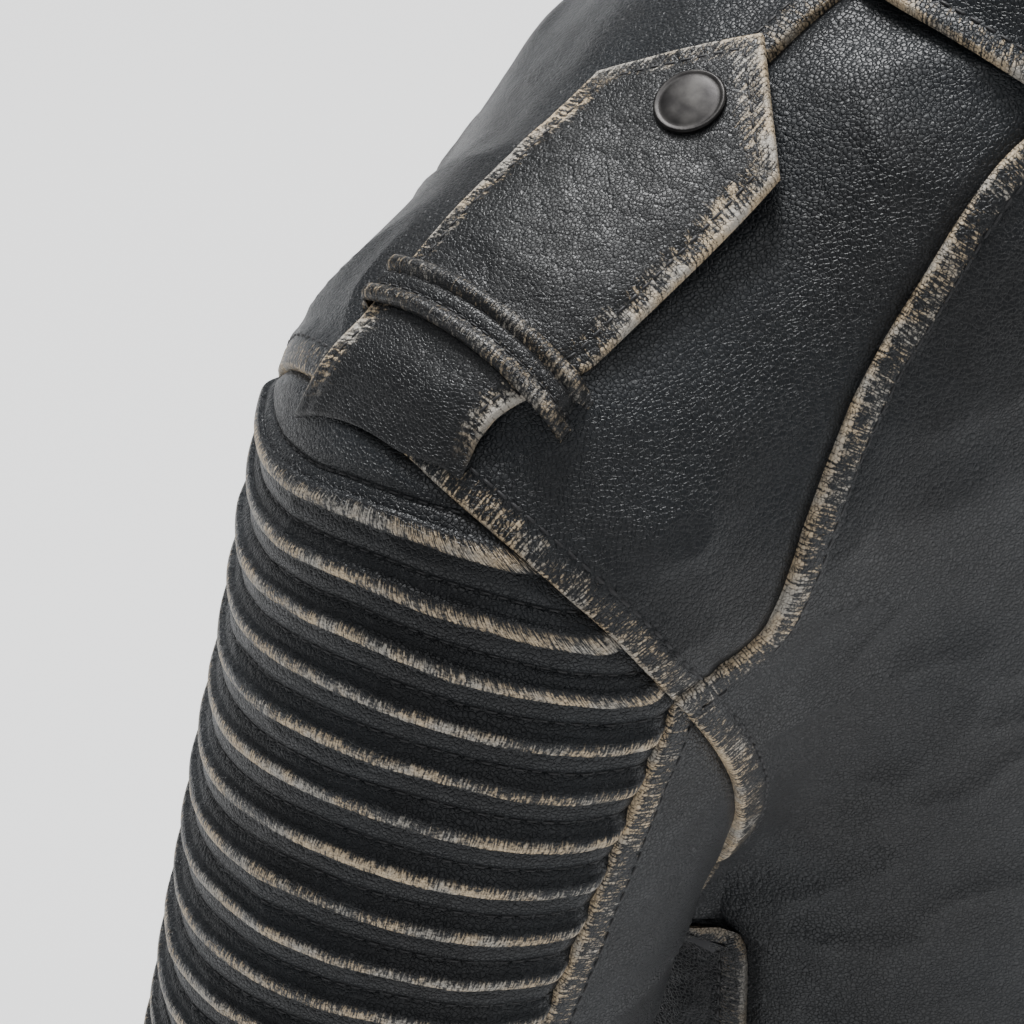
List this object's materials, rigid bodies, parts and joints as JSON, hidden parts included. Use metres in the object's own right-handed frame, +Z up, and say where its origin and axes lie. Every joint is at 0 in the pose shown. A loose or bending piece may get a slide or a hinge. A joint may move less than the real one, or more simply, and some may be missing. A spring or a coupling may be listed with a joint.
{
  "type": "leather riding jacket",
  "caption": "Leather riding jacket with padded rib sleeves, pointed shoulder straps on snaps, a straight front zip, hand pocket and cuff zips and a turned-down collar.",
  "frame": {"origin": "underside of the crown of the hanger loop, inside the back of the neck", "axes": "+Z up along the wearer's body, the wearer faces -Y, +X towards the wearer's left arm"},
  "size_m": [0.6472, 0.2538, 0.7191],
  "materials": {
    "leather": "worn semi-gloss pebbled grain with pale rubbed edges",
    "rib_leather": "padded ribs with pale rubbed crests",
    "strap_leather": "smoother semi-gloss with cut edges rubbed pale",
    "lining": "satin",
    "snap_metal": "dark gunmetal with a bright rim",
    "zip_metal": "dark nickel",
    "tape_cloth": "woven tape"
  },
  "bodies": {
    "jacket": {"front_panel_left": "leather", "front_panel_right": "leather", "front_yoke_left": "leather", "front_yoke_right": "leather", "side_panel_left": "leather", "side_panel_right": "leather", "back_panel": "leather", "back_yoke": "leather", "sleeve_forearm_panel_left": "leather", "sleeve_forearm_panel_right": "leather", "under_sleeve_left": "leather", "under_sleeve_right": "leather", "front_facing_left": "leather", "front_facing_right": "leather", "hem_facing": "leather", "collar_stand": "leather", "collar_leaf": "leather", "sleeve_rib_panel_left": "rib_leather", "sleeve_rib_panel_right": "rib_leather", "strap_base_left": "strap_leather", "strap_base_right": "strap_leather", "strap_keeper_left": "strap_leather", "strap_keeper_right": "strap_leather", "body_lining": "lining", "sleeve_lining_left": "lining", "sleeve_lining_right": "lining", "snap_stud_left": "snap_metal", "snap_stud_right": "snap_metal", "front_zip_tape_left": "tape_cloth", "front_zip_tape_right": "tape_cloth", "pocket_zip_left_tape": "tape_cloth", "pocket_zip_right_tape": "tape_cloth", "cuff_zip_left_tape": "tape_cloth", "cuff_zip_right_tape": "tape_cloth", "pocket_bag_left": "tape_cloth", "pocket_bag_right": "tape_cloth", "hanger_loop": "tape_cloth", "front_zip_teeth_left": "zip_metal", "front_zip_teeth_right": "zip_metal", "front_zip_retainer": "zip_metal", "pocket_zip_left_teeth": "zip_metal", "pocket_zip_right_teeth": "zip_metal", "cuff_zip_left_teeth": "zip_metal", "cuff_zip_right_teeth": "zip_metal"},
    "front_slider": {"front_zip_slider": "zip_metal"},
    "front_pull": {"front_zip_pull": "zip_metal"},
    "pocket_left_slider": {"pocket_zip_left_slider": "zip_metal"},
    "pocket_left_pull": {"pocket_zip_left_pull": "zip_metal"},
    "pocket_right_slider": {"pocket_zip_right_slider": "zip_metal"},
    "pocket_right_pull": {"pocket_zip_right_pull": "zip_metal"},
    "cuff_left_slider": {"cuff_zip_left_slider": "zip_metal"},
    "cuff_left_pull": {"cuff_zip_left_pull": "zip_metal"},
    "cuff_right_slider": {"cuff_zip_right_slider": "zip_metal"},
    "cuff_right_pull": {"cuff_zip_right_pull": "zip_metal"},
    "flap_left": {"strap_flap_left": "strap_leather", "snap_cap_left": "snap_metal", "snap_socket_left": "snap_metal"},
    "flap_right": {"strap_flap_right": "strap_leather", "snap_cap_right": "snap_metal", "snap_socket_right": "snap_metal"}
  },
  "joints": [
    {"name": "front_zip_slide", "type": "slide", "parent": "jacket", "child": "front_slider", "axis": [0, 0.0599, 0.9982], "range_m": [-0.515, 0]},
    {"name": "front_pull_swing", "type": "hinge", "parent": "front_slider", "child": "front_pull", "pos_m": [0, -0.13959, -0.09391], "axis": [-1, 0, 0], "range_deg": [0, 150]},
    {"name": "pocket_zip_left_slide", "type": "slide", "parent": "jacket", "child": "pocket_left_slider", "axis": [-0.0271, 0.0533, 0.9982], "range_m": [-0.121, 0]},
    {"name": "pocket_pull_left_swing", "type": "hinge", "parent": "pocket_left_slider", "child": "pocket_left_pull", "pos_m": [0.10228, -0.14045, -0.44122], "axis": [-0.8973, -0.4414, -0.0008], "range_deg": [0, 150]},
    {"name": "pocket_zip_right_slide", "type": "slide", "parent": "jacket", "child": "pocket_right_slider", "axis": [0.0271, 0.0533, 0.9982], "range_m": [-0.121, 0]},
    {"name": "pocket_pull_right_swing", "type": "hinge", "parent": "pocket_right_slider", "child": "pocket_right_pull", "pos_m": [-0.10228, -0.14045, -0.44122], "axis": [-0.8973, 0.4414, 0.0008], "range_deg": [0, 150]},
    {"name": "cuff_zip_left_slide", "type": "slide", "parent": "jacket", "child": "cuff_left_slider", "axis": [-0.1068, 0.2542, 0.9612], "range_m": [0, 0.081]},
    {"name": "cuff_pull_left_swing", "type": "hinge", "parent": "cuff_left_slider", "child": "cuff_left_pull", "pos_m": [0.31769, -0.07911, -0.6551], "axis": [0.4686, -0.8398, 0.2741], "range_deg": [0, 150]},
    {"name": "cuff_zip_right_slide", "type": "slide", "parent": "jacket", "child": "cuff_right_slider", "axis": [0.1068, 0.2542, 0.9612], "range_m": [0, 0.081]},
    {"name": "cuff_pull_right_swing", "type": "hinge", "parent": "cuff_right_slider", "child": "cuff_right_pull", "pos_m": [-0.31769, -0.07911, -0.6551], "axis": [0.4686, 0.8398, -0.2741], "range_deg": [0, 150]},
    {"name": "flap_left_lift", "type": "hinge", "parent": "jacket", "child": "flap_left", "pos_m": [0.1943, -0.0415, -0.0489], "axis": [0, 1, 0], "range_deg": [0, 70]},
    {"name": "flap_right_lift", "type": "hinge", "parent": "jacket", "child": "flap_right", "pos_m": [-0.1943, -0.0415, -0.0489], "axis": [0, -1, 0], "range_deg": [0, 70]}
  ]
}
